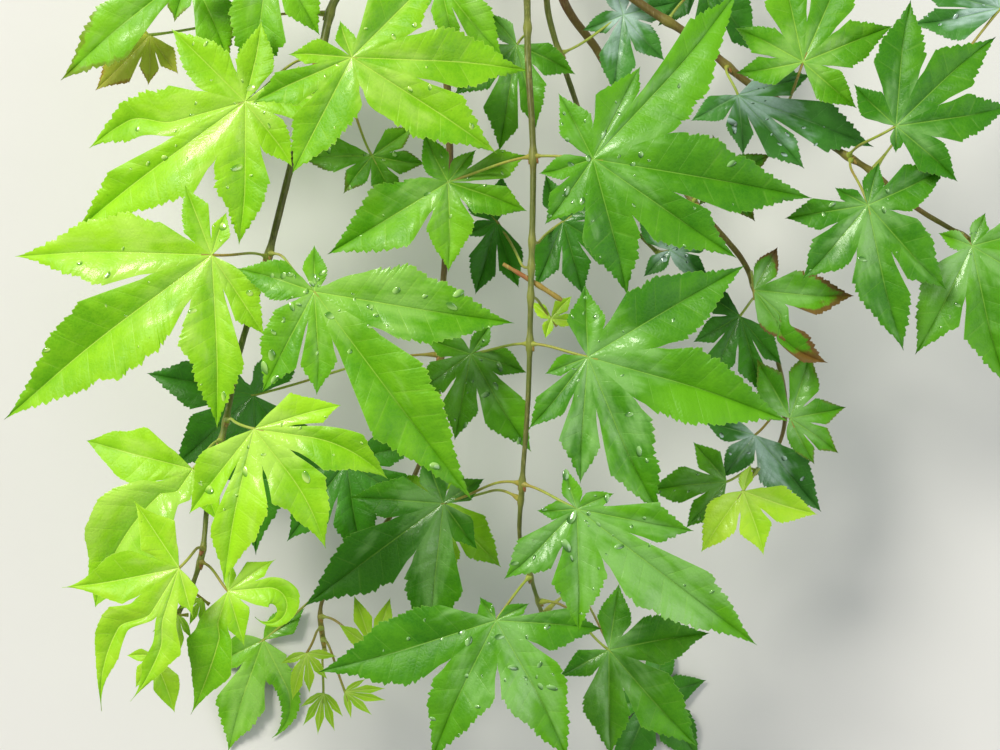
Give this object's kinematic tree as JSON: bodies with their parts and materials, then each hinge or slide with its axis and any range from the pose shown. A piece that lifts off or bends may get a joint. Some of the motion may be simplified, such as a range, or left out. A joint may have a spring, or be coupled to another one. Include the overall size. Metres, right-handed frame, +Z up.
{
  "type": "cut leafy branch of japanese maple",
  "caption": "Cut leafy branch of Japanese maple with arching shoots and wet, toothed palmate green leaves, lying on its leaf tips.",
  "frame": {"origin": "middle of the branch's box at the level of the surface that it lies on", "axes": "+Z up from the surface, +Y towards the cut end of the main stem, +X to the right seen from above with the cut end at the top"},
  "size_m": [0.3184, 0.3544, 0.1069],
  "materials": {
    "leaf_lime": "thin sunlit leaf blade, semi-gloss, wet in places",
    "leaf_fresh": "thin fresh green leaf blade, semi-gloss",
    "leaf_mid": "thin mid green leaf blade, semi-gloss",
    "leaf_deep": "thin shaded green leaf blade, semi-gloss",
    "leaf_young": "thin young yellow-green leaf blade, semi-gloss",
    "leaf_wet": "thin wet leaf blade with a silvery gloss",
    "leaf_old": "thin yellowing leaf blade with brown edges, matt",
    "bark": "smooth olive and brown young bark",
    "twig": "smooth yellow-green shoot bark"
  },
  "bodies": {
    "root": {"main_stem": "bark", "centre_shoot": "twig", "left_shoot": "bark", "rear_shoot": "bark", "inner_shoot": "twig", "right_rear_shoot": "bark", "right_shoot": "bark", "main_leaf_1": "leaf_mid", "main_leaf_2": "leaf_mid", "left_leaf_1": "leaf_lime", "left_leaf_2": "leaf_lime", "left_leaf_3": "leaf_lime", "left_leaf_4": "leaf_fresh", "left_leaf_5": "leaf_fresh", "left_leaf_6": "leaf_fresh", "left_leaf_7": "leaf_fresh", "left_leaf_8": "leaf_old", "left_leaf_9": "leaf_lime", "left_leaf_10": "leaf_lime", "left_leaf_11": "leaf_young", "left_leaf_12": "leaf_young", "left_leaf_13": "leaf_young", "rear_leaf_1": "leaf_fresh", "rear_leaf_2": "leaf_deep", "rear_leaf_3": "leaf_deep", "rear_leaf_4": "leaf_mid", "rear_leaf_5": "leaf_young", "rear_leaf_6": "leaf_young", "rear_leaf_7": "leaf_young", "rear_leaf_8": "leaf_young", "centre_leaf_1": "leaf_mid", "centre_leaf_2": "leaf_fresh", "centre_leaf_3": "leaf_mid", "centre_leaf_4": "leaf_deep", "centre_leaf_5": "leaf_deep", "centre_leaf_6": "leaf_young", "centre_leaf_7": "leaf_deep", "centre_leaf_8": "leaf_mid", "centre_leaf_9": "leaf_deep", "centre_leaf_10": "leaf_lime", "centre_leaf_11": "leaf_mid", "centre_leaf_12": "leaf_mid", "centre_leaf_13": "leaf_mid", "centre_leaf_14": "leaf_deep", "inner_leaf_1": "leaf_wet", "inner_leaf_2": "leaf_wet", "right_rear_leaf_1": "leaf_mid", "right_rear_leaf_2": "leaf_deep", "right_rear_leaf_3": "leaf_mid", "right_rear_leaf_4": "leaf_mid", "right_rear_leaf_5": "leaf_wet", "right_rear_leaf_6": "leaf_young", "right_rear_leaf_7": "leaf_deep", "right_leaf_1": "leaf_deep", "right_leaf_2": "leaf_wet", "right_leaf_3": "leaf_fresh", "right_leaf_4": "leaf_mid", "right_leaf_5": "leaf_mid", "right_leaf_6": "leaf_wet", "right_leaf_7": "leaf_mid"}
  },
  "joints": []
}
